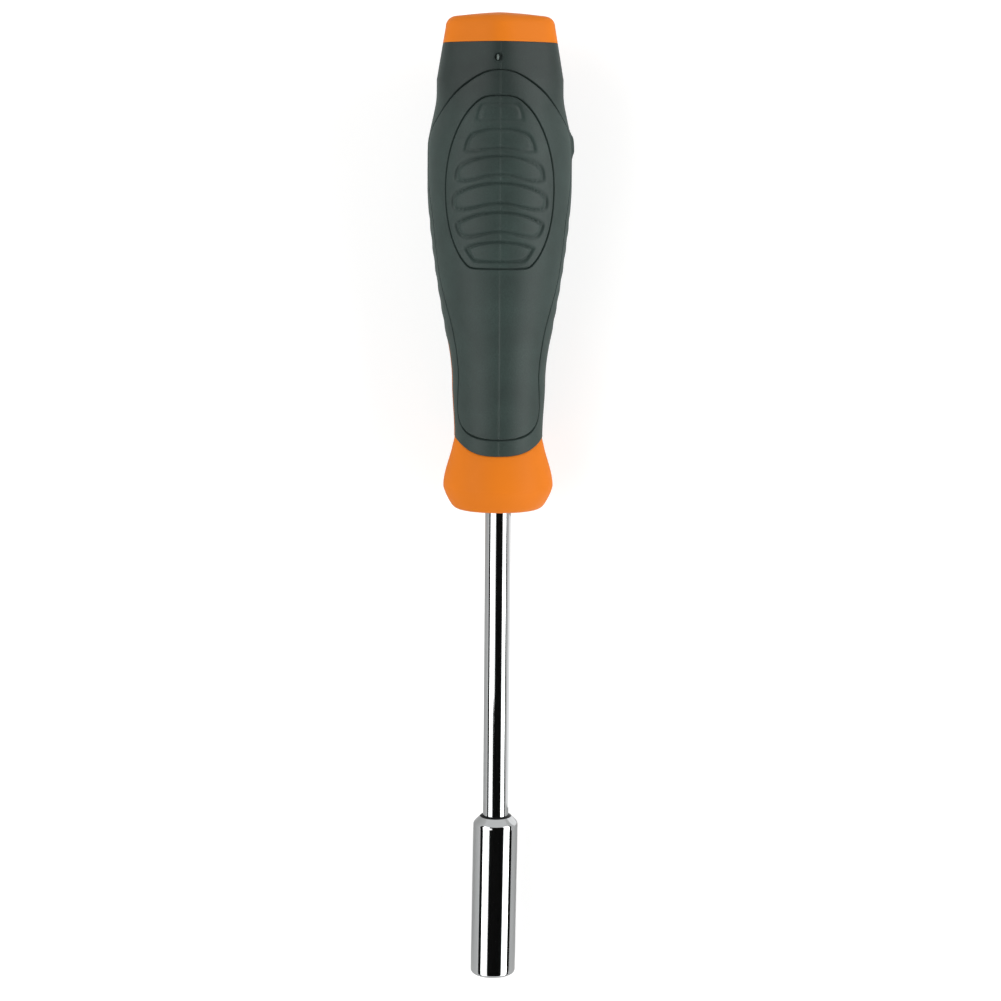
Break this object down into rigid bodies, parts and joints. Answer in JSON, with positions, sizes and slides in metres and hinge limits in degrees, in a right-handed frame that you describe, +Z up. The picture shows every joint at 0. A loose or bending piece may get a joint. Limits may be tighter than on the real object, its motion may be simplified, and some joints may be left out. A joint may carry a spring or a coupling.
{
  "type": "bit holder screwdriver",
  "caption": "Hand screwdriver with a soft-grip moulded handle, a chromed round shaft and a magnetic hex sleeve at the tip that takes exchangeable insert bits.",
  "frame": {"origin": "centre of the bounding box's base, on the bench that the tool lies on", "axes": "+Y from the tip to the butt end, +Z up out of the bench and out of the front pad of the grip, +X to the side with the raised boss"},
  "size_m": [0.0336, 0.2246, 0.0335],
  "materials": {
    "orange_plastic": "satin moulded",
    "soft_plastic": "fine matt moulded",
    "core_plastic": "plain moulded",
    "chromed_steel": "bright chrome plate",
    "nickel_plate": "nickel plate",
    "spring_steel": "drawn wire"
  },
  "bodies": {
    "root": {"butt_cap": "orange_plastic", "handle_body": "orange_plastic", "soft_grip": "soft_plastic", "inner_core": "core_plastic", "shaft": "chromed_steel", "bit_holder": "chromed_steel", "magnet": "nickel_plate", "retaining_ring": "spring_steel"}
  },
  "joints": []
}
